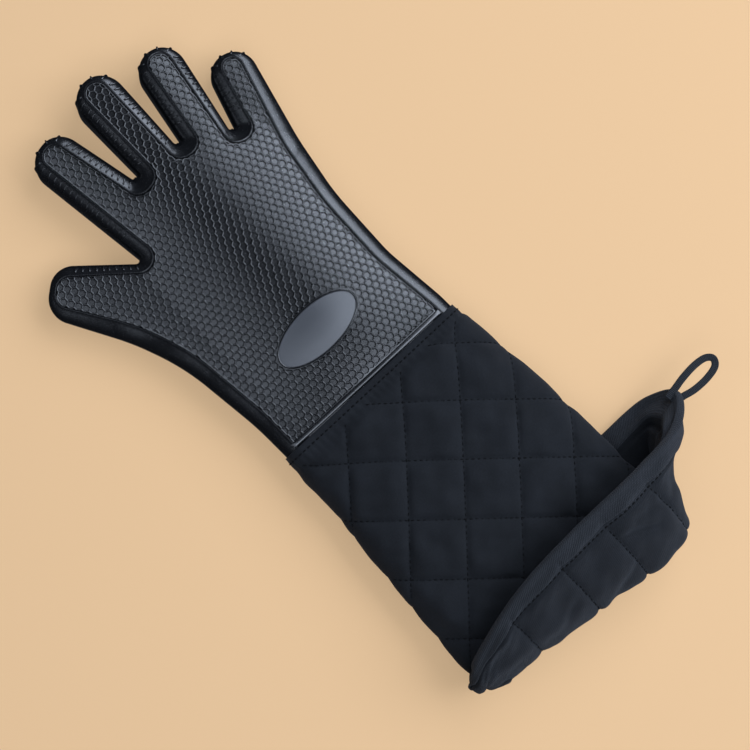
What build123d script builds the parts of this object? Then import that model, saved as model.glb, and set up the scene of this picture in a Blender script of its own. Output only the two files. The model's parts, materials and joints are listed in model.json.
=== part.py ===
from build123d import *

import math
import os

# Heat resistant glove for the right hand, lying palm down: a moulded silicone hand with a knitted
# liner, and a quilted fabric sleeve whose open end is turned inside out and folded back as a cuff.
# Lengths are millimetres. The pieces are laid out from the wrist seam: x = 0 on the middle of the
# wrist, +X to the little finger, y = 0 at the seam, +Y to the fingers, z = 0 on the palm's resting
# face, +Z to the back of the hand. to_row moves each finished piece, so that the origin of the part
# is the centre of the palm's resting face.

PALM_CENTRE_Y = 95.0

# Silicone hand and its liner
HAND_THICK = 27.0
EDGE_ROUND = 9.0
SKIN = 2.2
LINER_GAP = 0.2
LINER = 1.5
MID_Z = HAND_THICK / 2

# Finger: (tip centre x, tip centre y, tip radius, lean in degrees towards -X, distance from the tip
# centre back to the hinge, half width there, whether the -X and the +X side stand clear of a neighbour)
FINGERS = {
    "thumb": (-93.3, 168.0, 16.0, 37.0, 34.0, 23.3, True, True),
    "index": (-40.7, 232.0, 15.6, 8.7, 36.0, 18.2, True, False),
    "middle": (4.0, 240.4, 16.6, -2.0, 44.0, 16.8, False, False),
    "ring": (44.3, 227.5, 15.6, -11.5, 36.0, 16.0, False, False),
    "little": (75.2, 196.0, 14.6, -18.0, 20.0, 16.5, False, True),
}
# Corners of the side outlines, with the radius that rounds each one, from the wrist upwards
LITTLE_SIDE = [((69.5, 3), 60), ((66, 50), 90), ((68.5, 100), 150), ((76, 140), 150)]
THUMB_SIDE = [((-70, 30), 150), ((-75, 80), 90), ((-87, 121), 150)]
WRIST_HALF_WIDTH = 69.8
WRIST_CUT_Y = -25.0
# Middle of the gap's bottom between neighbours; a gap between two fingers is this wide there
CROTCHES = {"little-ring": (50.0, 172.9), "ring-middle": (19.3, 190.0), "middle-index": (-14.6, 192.7)}
CROTCH_WIDTH = 3.4
CROTCH_ROUND = 1.5
THUMB_CROTCH = (-49.2, 152.5)
THUMB_CROTCH_ROUND = 3.5

# Finger hinges: the root is a cylinder about the hinge axis, and the hand is cut back round it
KNUCKLE_R = 15.8
KNUCKLE_GAP = 0.4
ROOT_SIDE = 0.6
SOCKET_SIDE = 1.2
NEIGHBOUR_SIDE = -1.5
WRIST_R = 14.0

# Sleeve layers, from the face inwards, and the gap between the sleeve and the folded-back cuff
COVER = 1.0
WADDING = 3.0
LINING = 1.0
QUILT = COVER + WADDING + LINING
FOLD_GAP = 1.0
# Sections of the sleeve's face: (y, left, right, underside, top, corner radius)
SLEEVE_SECTIONS = [
    (6.0, -69.9, 69.6, 0.5, 27.0, 9.0),
    (-60.0, -74.5, 76.0, 1.2, 32.0, 13.0),
    (-125.0, -78.0, 77.0, 10.0, 42.0, 15.4),
]
# The fold is a section across a plane that leans to the little finger's side
FOLD_CENTRE = (-3.0, -196.0, 23.25)
FOLD_SIZE = (154.0, 34.0)
FOLD_ROUND = 16.0
FOLD_TURN = -5.5
FOLD_OVERRUN = 12.0
# The rim of the folded-back cuff: wider than the fold, leaning back over the sleeve
RIM_CENTRE = (19.5, -148.0, 32.2)
RIM_SIZE = (224.0, 66.5)
RIM_ROUND = 24.0
RIM_TURN = 7.5
RIM_TILT = 20.0
RIM_OVERRUN = 2.0

# Rim binding, threads and hanging loop
BINDING = 1.0
BINDING_WIDTH = 9.5
BINDING_CLEAR = 0.1
THREAD = 0.35
THREAD_WIDTH = 0.6
STITCH = 3.0
STITCH_PITCH = 4.5
WRIST_SEAM_Y = -8.0
BINDING_SEAM = 7.5
QUILT_PITCH = 35.5
QUILT_TURN = 46.0
QUILT_CROSSING = (5.0, -75.0)
LOOP_LENGTH = 34.0
LOOP_HEIGHT = 15.2
LOOP_TAPE = 4.6
LOOP_THICK = 2.4
LOOP_GAP = 0.9
LOOP_TURN = -8.0
LOOP_Y = -139.5


def outline():
    """The glove's outline in plan, with every corner rounded."""
    points = [((WRIST_HALF_WIDTH, WRIST_CUT_Y), 0)] + LITTLE_SIDE
    for name in ("little", "ring", "middle", "index", "thumb"):
        points += fingertip(name)
        crotch = next((c for pair, c in CROTCHES.items() if pair.startswith(name)), None)
        if crotch:
            points += [((crotch[0] + side * CROTCH_WIDTH / 2, crotch[1]), CROTCH_ROUND) for side in (1, -1)]
        if name == "index":
            points.append((THUMB_CROTCH, THUMB_CROTCH_ROUND))
    points += THUMB_SIDE[::-1] + [((-WRIST_HALF_WIDTH, WRIST_CUT_Y), 0)]
    corners = [p for p, _ in points]
    radii = [r for _, r in points[1:-1]]
    edge = FilletPolyline(*corners, radius=radii)
    return make_face([*edge.edges(), Line(corners[-1], corners[0])])


def fingertip(name):
    """The two corners, with their rounding, that make one fingertip, the +X side first."""
    x, y, r, lean = FINGERS[name][:4]
    a = math.radians(lean)
    ahead, aside = (-math.sin(a), math.cos(a)), (math.cos(a), math.sin(a))
    return [
        ((x + r * (ahead[0] + s * aside[0]), y + r * (ahead[1] + s * aside[1])), r * 0.95) for s in (1, -1)
    ]


def rounded_hand(inset):
    """The glove's whole outline, inset all round, as a solid with rounded edges."""
    face = outline() if inset == 0 else offset(outline(), amount=-inset)
    solid = Pos(0, 0, inset) * extrude(face, HAND_THICK - 2 * inset)
    ends = [f for f in solid.faces() if abs(f.normal_at().Z) > 0.99]
    edges = [e for f in ends for e in f.edges() if e.center().Y > WRIST_CUT_Y + inset + 1]
    return fillet(edges, EDGE_ROUND - inset)


def hinge_place(name):
    """Where a finger's hinge is: its Y axis points along the finger, its X axis is the hinge axis."""
    x, y, _, lean, back = FINGERS[name][:5]
    a = math.radians(lean)
    return Pos(x + back * math.sin(a), y - back * math.cos(a), MID_Z) * Rot(0, 0, lean)


def root_zone(name, radius, free_side, neighbour_side):
    """The space of a finger: all that lies ahead of its hinge, and a cylinder about the hinge axis."""
    half, free_left, free_right = FINGERS[name][5:]
    left = half + (free_side if free_left else neighbour_side)
    right = half + (free_side if free_right else neighbour_side)
    across = half + free_side
    middle = (right - left) / 2
    ahead = Pos(0, 60, 0) * Box(2 * across, 120, 80)
    barrel = Pos(middle, 0, 0) * Rot(0, 90, 0) * Cylinder(radius, left + right)
    return hinge_place(name) * (ahead + barrel)


def largest(shape):
    """The biggest solid of a shape, without the crumbs that a cut can leave."""
    return max(shape.solids(), key=lambda s: s.volume)


def wrist_barrel(radius):
    return Pos(0, 0, MID_Z) * Rot(0, 90, 0) * Cylinder(radius, 400)


def hand_layer(prefix, outer, inner):
    """One layer of the glove's hand, cut into the hand and the fingers."""
    whole = rounded_hand(outer) - rounded_hand(inner)
    above_wrist = Pos(0, 200, 0) * Box(400, 400, 200) + wrist_barrel(WRIST_R)
    hand = whole & above_wrist
    pieces = {}
    for name in FINGERS:
        pieces[f"{prefix}_{name}"] = largest(whole & root_zone(name, KNUCKLE_R, ROOT_SIDE, NEIGHBOUR_SIDE))
        hand -= root_zone(name, KNUCKLE_R + KNUCKLE_GAP, SOCKET_SIDE, SOCKET_SIDE)
    pieces[f"{prefix}_hand"] = largest(hand)
    return pieces


def section(plane, width, height, radius, inset):
    return plane * RectangleRounded(width - 2 * inset, height - 2 * inset, radius - inset)


def sleeve_plane(y, left, right, low, high):
    return Plane(((left + right) / 2, y, (low + high) / 2), x_dir=(1, 0, 0), z_dir=(0, -1, 0))


def slanted_plane(centre, turn, tilt, down=0.0):
    """A plane across the sleeve, turned about Z and tilted about its own width, moved down the sleeve."""
    turned = Pos(*centre) * Rot(0, 0, turn) * Rot(90 + tilt, 0, 0)
    return Plane(turned * Pos(0, 0, down))


def above_fold(down):
    """The space up the sleeve from the fold's plane, moved down the sleeve."""
    fold = slanted_plane(FOLD_CENTRE, FOLD_TURN, 0, down)
    return fold.location * Box(600, 400, 600, align=(Align.CENTER, Align.CENTER, Align.MAX))


def sleeve_tube(inset):
    """The sleeve's inside stretch as a solid, from the wrist to below the fold."""
    sections = [
        section(sleeve_plane(y, left, right, low, high), right - left, high - low, radius, inset)
        for y, left, right, low, high, radius in SLEEVE_SECTIONS
    ]
    end = slanted_plane(FOLD_CENTRE, FOLD_TURN, 0, FOLD_OVERRUN)
    sections.append(section(end, *FOLD_SIZE, FOLD_ROUND, inset))
    return loft(sections, ruled=True)


def cuff_tube(inset):
    """The folded-back stretch as a solid, from below the fold to beyond the rim."""
    grow = 2 * (FOLD_GAP + QUILT)
    fold = slanted_plane(FOLD_CENTRE, FOLD_TURN, 0, FOLD_OVERRUN)
    rim = slanted_plane(RIM_CENTRE, RIM_TURN, RIM_TILT, -RIM_OVERRUN)
    lower = section(fold, FOLD_SIZE[0] + grow, FOLD_SIZE[1] + grow, FOLD_ROUND + grow / 2, inset)
    upper = section(rim, *RIM_SIZE, RIM_ROUND, inset)
    return loft([lower, upper], ruled=True)


def fabric_layer(face, back):
    """One layer of the sleeve and its folded-back cuff, between two depths from the sleeve's face."""
    outer = (sleeve_tube(face) + (cuff_tube(QUILT - back) & below_rim(0))) & above_fold(back)
    pocket = (cuff_tube(QUILT - face) & above_fold(face)) - sleeve_tube(face)
    above_wrist = Pos(0, 200, 0) * Box(400, 400, 200)
    return outer - pocket - sleeve_tube(back) - wrist_barrel(WRIST_R + KNUCKLE_GAP) - above_wrist


def below_rim(start, end=300.0):
    """The space between two planes across the cuff, at these distances down from the rim."""
    rim = slanted_plane(RIM_CENTRE, RIM_TURN, RIM_TILT)
    slab = Box(600, 400, end - start, align=(Align.CENTER, Align.CENTER, Align.MIN))
    return rim.location * Pos(0, 0, start) * slab


def halves(name, layer):
    """The back and the palm panel of a layer, which meet along the side seams."""
    split = Pos(0, 0, MID_Z) * Rot(-math.degrees(math.atan2(10, 200)), 0, 0)
    above = split * Box(600, 900, 300, align=(Align.CENTER, Align.CENTER, Align.MIN))
    return {f"{name}_back": largest(layer & above), f"{name}_palm": largest(layer - above)}


def rim_binding():
    """A tape folded over the cuff's raw edge."""
    outside = BINDING + BINDING_CLEAR
    around = cuff_tube(-outside) - cuff_tube(QUILT + outside)
    edge = (cuff_tube(-BINDING_CLEAR) - cuff_tube(QUILT + BINDING_CLEAR)) & below_rim(-BINDING_CLEAR)
    return largest((around - edge) & below_rim(-outside, BINDING_WIDTH))


def comb(count, width, pitch, direction):
    """A row of thin upright slabs, spaced along X and turned about the quilting's crossing."""
    x, y = QUILT_CROSSING
    slabs = [Pos(i * pitch, 0, 0) * Box(width, 700, 300) for i in range(-count, count + 1)]
    return [Pos(x, y, 0) * Rot(0, 0, direction) * s for s in slabs]


def wrist_thread():
    """A row of stitches round the sleeve, just below the seam."""
    skin = sleeve_tube(-THREAD) - sleeve_tube(0)
    row = skin & (Pos(0, WRIST_SEAM_Y, 0) * Box(400, THREAD_WIDTH, 200)) - wrist_barrel(WRIST_R + 1.5)
    count = int(WRIST_HALF_WIDTH / STITCH_PITCH) - 1
    stitches = [row & slab for slab in comb(count, STITCH, STITCH_PITCH, 0)]
    return Compound([s for stitch in stitches for s in stitch.solids()])


def quilting_thread():
    """Lines of thread over the sleeve's face and over the cuff, crossing on the diagonal."""
    sleeve = (sleeve_tube(-THREAD) - sleeve_tube(0)) & (Pos(0, -74, 0) * Box(400, 112, 200))
    cuff = (cuff_tube(-THREAD) - cuff_tube(0)) & below_rim(BINDING_WIDTH + 1) & above_fold(QUILT - 1)
    lines = []
    for direction in (-QUILT_TURN, 90 - QUILT_TURN):
        for slab in comb(4, THREAD_WIDTH, QUILT_PITCH, direction):
            lines += [s for skin in (sleeve, cuff) for s in (skin & slab).solids()]
    return Compound(lines)


def binding_thread():
    """The line of topstitching round the binding."""
    outside = -BINDING - BINDING_CLEAR
    skin = cuff_tube(outside - THREAD) - cuff_tube(outside)
    return largest(skin & below_rim(BINDING_SEAM, BINDING_SEAM + THREAD_WIDTH))


def hanging_loop(root_x, root_z):
    """A flat tape, folded and bent into a long loop whose two ends stand side by side at the root."""
    outer = SlotOverall(2 * LOOP_LENGTH, LOOP_HEIGHT)
    slot = SlotOverall(2 * (LOOP_LENGTH - LOOP_TAPE), LOOP_HEIGHT - 2 * LOOP_TAPE)
    ahead = Pos(LOOP_LENGTH / 2, 0) * Rectangle(LOOP_LENGTH, LOOP_HEIGHT)
    tape = Pos(0, 0, -LOOP_THICK / 2) * extrude((outer - slot) & ahead, LOOP_THICK)
    return Pos(root_x, LOOP_Y, root_z) * Rot(0, 0, LOOP_TURN) * tape


def to_row(shape):
    return Pos(0, -PALM_CENTRE_Y, 0) * shape


def build():
    pieces = hand_layer("silicone", 0, SKIN)
    pieces |= hand_layer("liner", SKIN + LINER_GAP, SKIN + LINER_GAP + LINER)
    pieces |= halves("cover", fabric_layer(0, COVER))
    pieces |= halves("wadding", fabric_layer(COVER, COVER + WADDING))
    pieces |= halves("lining", fabric_layer(COVER + WADDING, QUILT))
    pieces["rim_binding"] = rim_binding()
    pieces["wrist_thread"] = wrist_thread()
    pieces["quilting_thread"] = quilting_thread()
    pieces["binding_thread"] = binding_thread()
    corner = pieces["rim_binding"].bounding_box()
    root_x = corner.max.X + LOOP_GAP
    pieces["hanging_loop"] = hanging_loop(root_x, RIM_CENTRE[2])
    return pieces


os.makedirs("parts", exist_ok=True)
for node, shape in build().items():
    export_step(to_row(shape), f"parts/{node}.step")
    box = to_row(shape).bounding_box()
    print(f"{node}: {box.min} to {box.max}")
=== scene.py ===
import json
import math

import bpy
import numpy as np
from mathutils import Matrix, Vector, geometry, kdtree


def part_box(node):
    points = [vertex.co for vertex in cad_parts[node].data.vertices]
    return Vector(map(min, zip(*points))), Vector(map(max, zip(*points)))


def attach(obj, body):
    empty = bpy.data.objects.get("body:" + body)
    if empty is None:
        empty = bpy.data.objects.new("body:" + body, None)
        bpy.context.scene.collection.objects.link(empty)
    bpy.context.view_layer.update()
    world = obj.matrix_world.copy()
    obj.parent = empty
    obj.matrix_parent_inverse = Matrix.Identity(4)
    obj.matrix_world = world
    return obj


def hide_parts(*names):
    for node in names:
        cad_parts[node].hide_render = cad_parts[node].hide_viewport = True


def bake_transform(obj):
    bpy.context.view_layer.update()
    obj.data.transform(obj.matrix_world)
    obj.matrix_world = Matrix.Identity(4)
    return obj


# A heat resistant glove for the right hand: a moulded silicone hand with honeycomb panels, and a
# quilted fabric sleeve whose open end is turned inside out and folded back as a cuff.
# Shapes are laid out in millimetres from the wrist seam, as the CAD is: x = 0 on the middle of the
# wrist and +X to the little finger, y = 0 at the seam and +Y to the fingers, z = 0 on the floor.
# metres() takes them to the row frame.

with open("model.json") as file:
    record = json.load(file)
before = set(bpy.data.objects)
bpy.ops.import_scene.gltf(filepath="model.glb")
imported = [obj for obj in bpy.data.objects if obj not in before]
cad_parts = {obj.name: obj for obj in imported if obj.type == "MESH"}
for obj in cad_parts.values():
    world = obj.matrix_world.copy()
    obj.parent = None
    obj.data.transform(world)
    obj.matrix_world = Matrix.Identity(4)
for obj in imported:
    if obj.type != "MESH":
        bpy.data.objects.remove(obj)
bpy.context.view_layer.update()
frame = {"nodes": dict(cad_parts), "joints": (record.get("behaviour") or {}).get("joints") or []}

WRIST_BARREL = 14.0
SEAM_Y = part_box("silicone_hand")[0].y * 1000 + WRIST_BARREL
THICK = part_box("silicone_hand")[1].z * 1000
MID_Z = THICK / 2
SEED = 7


def metres(points):
    """Millimetres from the wrist seam to metres in the row frame."""
    points = np.asarray(points, float)
    return (points + [0, SEAM_Y, 0]) / 1000


def unit(vectors):
    """The same directions, each with a length of 1."""
    return vectors / np.linalg.norm(vectors, axis=-1)[..., None]


def distances(path):
    """How far along a path each of its points is."""
    return np.concatenate([[0], np.cumsum(np.linalg.norm(np.diff(path, axis=0), axis=1))])


# ---------------------------------------------------------------- plan of the hand

# Finger: tip centre, tip radius, lean in degrees towards -X, half width of the panel's tip, how far
# the panel's tip centre lies ahead of the finger's, and half width of the finger at its hinge
FINGERS = {
    "thumb": ((-92.2, 167.2), 15.6, 37.0, 8.6, 2.4, 23.3),
    "index": ((-40.9, 231.3), 15.6, 8.7, 6.6, 4.4, 18.2),
    "middle": ((3.7, 239.8), 16.6, -2.0, 7.2, 4.8, 16.8),
    "ring": ((44.3, 227.5), 15.7, -11.5, 7.2, 4.0, 16.0),
    "little": ((75.2, 196.0), 14.7, -18.0, 6.4, 3.8, 16.5),
}
# Bottom of each gap between two fingers: the gap's own, the panel border's below it, and the lean
CROTCHES = {
    "little": ((50.0, 172.9), (49.6, 161.3), -14.7),
    "ring": ((19.3, 190.0), (19.1, 177.6), -6.7),
    "middle": ((-14.6, 192.7), (-13.6, 180.2), 3.4),
}
GAP_HALF, GAP_ROUND = 1.9, 1.8
BORDER_GAP_HALF, BORDER_GAP_ROUND = 9.8, 9.5
# Corners shared by two outlines: x, y and rounding of the silhouette, then of the panel border
THUMB_CROTCH = ((-47.8, 150.2, 2.2), (-36.6, 131.0, 9.5))
LITTLE_SIDE = [
    ((69.6, -9, 0.3), (60.6, -9, 0.3)),
    ((69.4, 8, 60), (60.0, 8, 60)),
    ((65.7, 50, 90), (55.4, 52, 90)),
    ((68.2, 100, 150), (57.6, 100, 150)),
    ((76.0, 140, 150), (64.6, 142, 150)),
]
THUMB_SIDE = [
    ((-88, 121, 150), (-77.0, 124.0, 150)),
    ((-76, 88, 150), (-66.0, 88, 120)),
    ((-70, 30, 200), (-61.0, 34, 150)),
    ((-69.8, -9, 0.3), (-61.6, -9, 0.3)),
]
# Length of a step along the outlines, and the fewest steps on a rounded corner
LOOP_STEP = 0.9
LEAST_ARC_STEPS = 3
TIP_ROUND = 0.96


def lean_axes(lean):
    """The directions along and across a finger that leans towards -X."""
    a = math.radians(lean)
    return np.array([-math.sin(a), math.cos(a)]), np.array([math.cos(a), math.sin(a)])


def tip_corners(name):
    """Two corners of a fingertip, each as (silhouette, border) with rounding."""
    centre, r, lean, border_r, ahead, _ = FINGERS[name]
    along, across = lean_axes(lean)
    border_centre = centre + ahead * along
    return [
        (
            (*(centre + r * (along + s * across)), r * TIP_ROUND),
            (*(border_centre + border_r * (along + s * across)), border_r * TIP_ROUND),
        )
        for s in (1, -1)
    ]


def crotch_corners(name):
    """Two corners of the gap on the -X side of a finger, each as (silhouette, border)."""
    gap, border, lean = CROTCHES[name]
    _, across = lean_axes(lean)
    return [
        (
            (*(gap + s * GAP_HALF * across), GAP_ROUND),
            (*(border + s * BORDER_GAP_HALF * across), BORDER_GAP_ROUND),
        )
        for s in (1, -1)
    ]


def plan_corners():
    """All corners of the silhouette and the border, from the little finger's side to the thumb's."""
    corners, spans = list(LITTLE_SIDE), {}
    for name in ("little", "ring", "middle", "index", "thumb"):
        spans[name] = len(corners)
        corners += tip_corners(name)
        if name in CROTCHES:
            corners += crotch_corners(name)
        elif name == "index":
            corners.append(THUMB_CROTCH)
    return corners + THUMB_SIDE, spans


def fillet_corner(before, corner, after, radius):
    """Start, centre, end and turn of the arc that rounds a corner."""
    d_in = (corner - before) / np.linalg.norm(corner - before)
    d_out = (after - corner) / np.linalg.norm(after - corner)
    turn = math.atan2(d_in[0] * d_out[1] - d_in[1] * d_out[0], d_in @ d_out)
    cut = radius * abs(math.tan(turn / 2))
    start, end = corner - cut * d_in, corner + cut * d_out
    side = math.copysign(1, turn)
    centre = start + radius * side * np.array([-d_in[1], d_in[0]])
    return start, centre, end, turn


def path_arcs(path):
    """The arcs that round the corners of an open path."""
    xy = np.array([c[:2] for c in path], float)
    return [fillet_corner(*xy[i - 1:i + 2], path[i][2]) for i in range(1, len(xy) - 1)]


def round_path(path, arcs, arc_steps, edge_steps):
    """Points of an open path with rounded corners, with the given number of steps on each stretch."""
    last, final = np.array(path[0][:2], float), np.array(path[-1][:2], float)
    points = [last]
    for (start, centre, end, turn), n_arc, n_edge in zip(arcs, arc_steps, edge_steps):
        points += [last + (start - last) * k / n_edge for k in range(1, n_edge + 1)]
        arm = start - centre
        for k in range(1, n_arc + 1):
            c, s = math.cos(turn * k / n_arc), math.sin(turn * k / n_arc)
            points.append(centre + [c * arm[0] - s * arm[1], s * arm[0] + c * arm[1]])
        last = end
    n_edge = edge_steps[-1]
    return np.array(points + [last + (final - last) * k / n_edge for k in range(1, n_edge + 1)])


def shared_steps(paths, arcs):
    """How many steps each arc and each straight edge has: enough for the longer one of two paths."""
    arc_steps, edge_steps = [], []
    for i in range(len(arcs[0])):
        longest = max(abs(a[i][3]) * path[i + 1][2] for path, a in zip(paths, arcs))
        arc_steps.append(max(LEAST_ARC_STEPS, round(longest / LOOP_STEP)))
    for i in range(len(arcs[0]) + 1):
        lengths = []
        for path, a in zip(paths, arcs):
            start = a[i - 1][2] if i else np.array(path[0][:2])
            end = a[i][0] if i < len(a) else np.array(path[-1][:2])
            lengths.append(np.linalg.norm(end - start))
        edge_steps.append(max(1, round(max(lengths) / LOOP_STEP)))
    return arc_steps, edge_steps


def matched_paths():
    """The silhouette and the panel border, with one point for each point of the other, and where each
    finger starts and ends along them."""
    corners, spans = plan_corners()
    paths = [[c[0] for c in corners], [c[1] for c in corners]]
    arcs = [path_arcs(path) for path in paths]
    arc_steps, edge_steps = shared_steps(paths, arcs)
    starts = np.cumsum([0] + [e + a for e, a in zip(edge_steps, arc_steps)])
    marks = {n: (starts[i - 1], starts[i + 1] + edge_steps[i + 1]) for n, i in spans.items()}
    outer, inner = (round_path(path, a, arc_steps, edge_steps) for path, a in zip(paths, arcs))
    return outer, inner, marks


silhouette, border, finger_marks = matched_paths()

# ---------------------------------------------------------------- meshes from arrays


class Surface:
    """Vertices and faces of one mesh, in millimetres from the wrist seam."""

    def __init__(self):
        self.verts, self.faces, self.count = [], [], 0

    def add(self, verts, faces):
        verts = np.asarray(verts, float).reshape(-1, 3)
        self.faces += [[i + self.count for i in f] for f in faces]
        self.verts.append(verts)
        self.count += len(verts)

    def grid(self, rows, closed=False, flip=False):
        """A sheet of quads through rows of points."""
        rows = np.asarray(rows, float)
        n, m = rows.shape[:2]
        faces = []
        for i in range(n - 1):
            for j in range(m if closed else m - 1):
                k = (j + 1) % m
                quad = [i * m + j, i * m + k, (i + 1) * m + k, (i + 1) * m + j]
                faces.append(quad[::-1] if flip else quad)
        self.add(rows.reshape(-1, 3), faces)

    def points(self):
        return np.concatenate(self.verts)


def weld(verts, faces, places=3):
    """Points at the same place become one, and faces that collapse go."""
    key = np.round(verts, places)
    _, first, same = np.unique(key, axis=0, return_index=True, return_inverse=True)
    same = same.reshape(-1)
    kept = []
    for f in faces:
        g = [int(same[i]) for i in f]
        g = [a for k, a in enumerate(g) if a != g[k - 1]]
        if len(set(g)) > 2:
            kept.append(g)
    return verts[first], kept


def new_object(name, verts, faces, material):
    """A smooth mesh object in the row frame, from millimetres."""
    mesh = bpy.data.meshes.new(name)
    mesh.from_pydata(metres(verts).tolist(), [], faces)
    mesh.validate()
    mesh.polygons.foreach_set("use_smooth", [True] * len(mesh.polygons))
    mesh.materials.append(material)
    obj = bpy.data.objects.new(name, mesh)
    bpy.context.scene.collection.objects.link(obj)
    return obj


# ---------------------------------------------------------------- crown of the back

CROWN_HIGH = 0.9
CROWN_OPEN_Y = -7.0
# The back arches across the hand: its height, its ridge line, how wide the top is, and its slopes
ARCH_HIGH, ARCH_X, ARCH_TOP = 6.2, 6.0, 20.0
ARCH_SLOPE, THUMB_SLOPE, THUMB_FROM = 0.16, 0.09, 60.0
# Towards the wrist the arch gets lower
WRIST_FALL, WRIST_FALL_FROM, WRIST_FALL_OVER = 0.75, 66.0, 72.0
# The crown's grid: its step, its margin round the panel, and how often it is settled and smoothed
CROWN_GRID, CROWN_MARGIN = 2.0, 4
CROWN_SWEEPS, CROWN_SMOOTHS = 1500, 3
CROWN_POWER = 0.55


def inside_path(points, path):
    """Whether each point lies inside a closed path."""
    x, y = points[:, 0][:, None], points[:, 1][:, None]
    a, b = path, np.roll(path, -1, axis=0)
    crosses = (a[:, 1] > y) != (b[:, 1] > y)
    rise = np.where(b[:, 1] == a[:, 1], 1e-9, b[:, 1] - a[:, 1])
    at = a[:, 0] + (y - a[:, 1]) * (b[:, 0] - a[:, 0]) / rise
    return (crosses & (x < at)).sum(axis=1) % 2 == 1


def neighbours(film):
    """The sum of the four neighbours of each place."""
    return np.roll(film, 1, 0) + np.roll(film, -1, 0) + np.roll(film, 1, 1) + np.roll(film, -1, 1)


def make_crown():
    """How far the back swells at each place: a soap film over the panel, flattened by a root."""
    low, high = border.min(0) - CROWN_MARGIN, border.max(0) + CROWN_MARGIN
    nx, ny = (np.ceil((high - low) / CROWN_GRID)).astype(int) + 1
    gx, gy = np.meshgrid(low[0] + CROWN_GRID * np.arange(nx), low[1] + CROWN_GRID * np.arange(ny))
    mask = inside_path(np.stack([gx.ravel(), gy.ravel()], 1), border).reshape(ny, nx)
    open_row = int((CROWN_OPEN_Y - low[1]) / CROWN_GRID) + 1

    def held(film):
        film = np.where(mask, film, 0)
        film[:open_row] = film[open_row]
        return film

    film = np.zeros((ny, nx))
    for _ in range(CROWN_SWEEPS):
        film = held((neighbours(film) + 1) / 4)
    film = CROWN_HIGH * (film / film.max()) ** CROWN_POWER
    for _ in range(CROWN_SMOOTHS):
        film = held((neighbours(film) + 4 * film) / 8)

    def crown(points):
        at = (np.asarray(points)[:, :2] - low) / CROWN_GRID
        i, j = np.clip(at.astype(int), 0, [nx - 2, ny - 2]).T
        f, g = np.clip(at.T - [i, j], 0, 1)
        near = film[j, i] * (1 - f) + film[j, i + 1] * f
        far = film[j + 1, i] * (1 - f) + film[j + 1, i + 1] * f
        return near * (1 - g) + far * g

    return crown


crown_at = make_crown()

# ---------------------------------------------------------------- honeycomb panels

HEX_PITCH = 4.75
HEX_ROW = HEX_PITCH * math.sqrt(3) / 2
HEX_TOP = HEX_PITCH / 2 - 0.15
# Rings down a cell's wall: how far in, and how high
HEX_RINGS = ((0.22, -0.13), (0.6, -1.3))
BORDER_CLEAR = 0.55
SMALLEST_CELL = 1.6
CELLS_FROM = ((-75, 7.4), (75, 2.9))
BADGE_CENTRE, BADGE_HALF = np.array([-1.6, 46.2]), np.array([30.6, 14.0])
# Rings of the badge's rim: how far outside the oval, and how high
BADGE_RINGS = [(1.0, 0.0), (0.7, 0.35), (0.35, 0.5), (0.1, 0.35), (-0.25, -0.6)]
BADGE_CLEAR = 1.2
# The badge's face: height of its dome, its outer ring, and the sizes of the rings inside that
BADGE_DOME, DOME_OUTSIDE, DOME_POINTS = 0.85, -1.2, 48
DOME_RINGS = (0.8, 0.6, 0.4, 0.2)
# A cell that gets smaller than this has no further ring, in square millimetres
SMALLEST_RING = 0.1
# Points that are nearer than this are one point in a triangulation
SAME_POINT = 1e-4


def clip(polygon, at, normal):
    """The part of a convex polygon on the side of a line that its normal points to."""
    side = (polygon - at) @ normal
    out = []
    for k in range(len(polygon)):
        j = (k + 1) % len(polygon)
        if side[k] >= 0:
            out.append(polygon[k])
        if (side[k] >= 0) != (side[j] >= 0):
            out.append(polygon[k] + (polygon[j] - polygon[k]) * side[k] / (side[k] - side[j]))
    return np.array(out)


def area(polygon):
    """The area of a polygon, in square millimetres."""
    if len(polygon) < 3:
        return 0
    x, y = polygon[:, 0], polygon[:, 1]
    return 0.5 * float(x @ np.roll(y, -1) - y @ np.roll(x, -1))


def shrink(polygon, by):
    """A convex polygon with every side moved in."""
    out = polygon
    for k in range(len(polygon)):
        step = polygon[(k + 1) % len(polygon)] - polygon[k]
        length = np.linalg.norm(step)
        if length > 1e-6 and len(out) > 2:
            normal = np.array([-step[1], step[0]]) / length
            out = clip(out, polygon[k] + by * normal, normal)
    return out


class Fence:
    """A line of points that cells stay clear of, on the side that its normals point to."""

    def __init__(self, points, normals):
        self.points, self.normals = points, normals
        self.tree = kdtree.KDTree(len(points))
        for i, p in enumerate(points):
            self.tree.insert((p[0], p[1], 0), i)
        self.tree.balance()

    def nearest(self, p):
        i = self.tree.find((p[0], p[1], 0))[1]
        return i, float((p - self.points[i]) @ self.normals[i])

    def keep(self, cell, clear):
        """The part of a cell that lies on the right side of the fence."""
        for i in {self.nearest(p)[0] for p in cell}:
            if len(cell) > 2:
                cell = clip(cell, self.points[i] + clear * self.normals[i], self.normals[i])
        return cell


def path_normals(path):
    """The directions to the left of a path."""
    step = unit(np.gradient(path, axis=0))
    return np.stack([-step[:, 1], step[:, 0]], 1)


def oval(outside, n=140):
    """A ring round the badge, at a distance outside its oval."""
    a = np.linspace(0, 2 * math.pi, n, endpoint=False)
    return BADGE_CENTRE + (BADGE_HALF + outside) * np.stack([np.cos(a), np.sin(a)], 1)


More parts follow.
